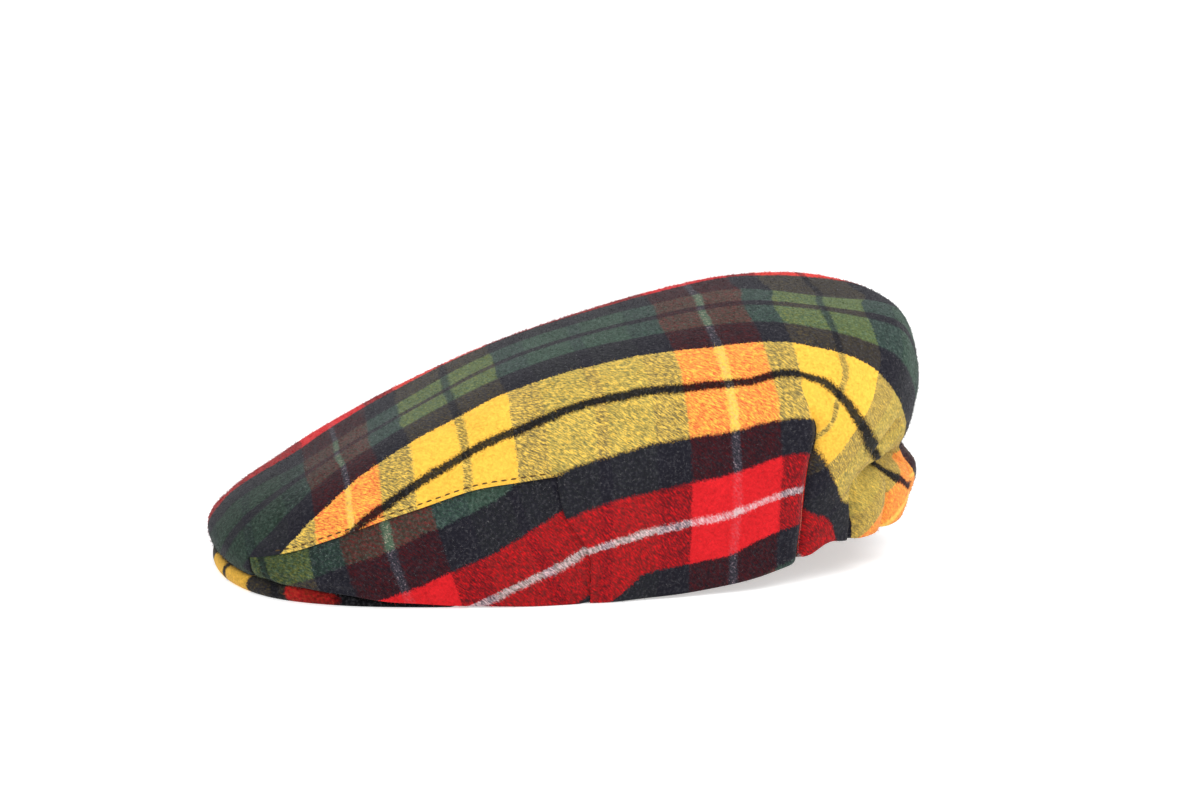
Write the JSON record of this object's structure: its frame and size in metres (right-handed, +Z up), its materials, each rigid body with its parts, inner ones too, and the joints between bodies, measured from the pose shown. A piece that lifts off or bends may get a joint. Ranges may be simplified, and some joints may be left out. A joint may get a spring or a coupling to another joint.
{
  "type": "flat cap",
  "caption": "Soft wool flat cap in a traditional tartan, with a stiff peak under the front, side panels and an elasticated back.",
  "frame": {"origin": "under the middle of the cap, on the surface that the peak and the rim lie on", "axes": "+Z up through the crown, -Y towards the peak at the front, +X towards the wearer's left"},
  "size_m": [0.1624, 0.272, 0.0993],
  "materials": {
    "tartan_crown": "brushed wool twill",
    "tartan_side": "brushed wool twill",
    "tartan_peak": "brushed wool twill"
  },
  "bodies": {
    "root": {"crown": "tartan_crown", "side_panel_left": "tartan_side", "side_panel_right": "tartan_side", "peak": "tartan_peak"}
  },
  "joints": []
}
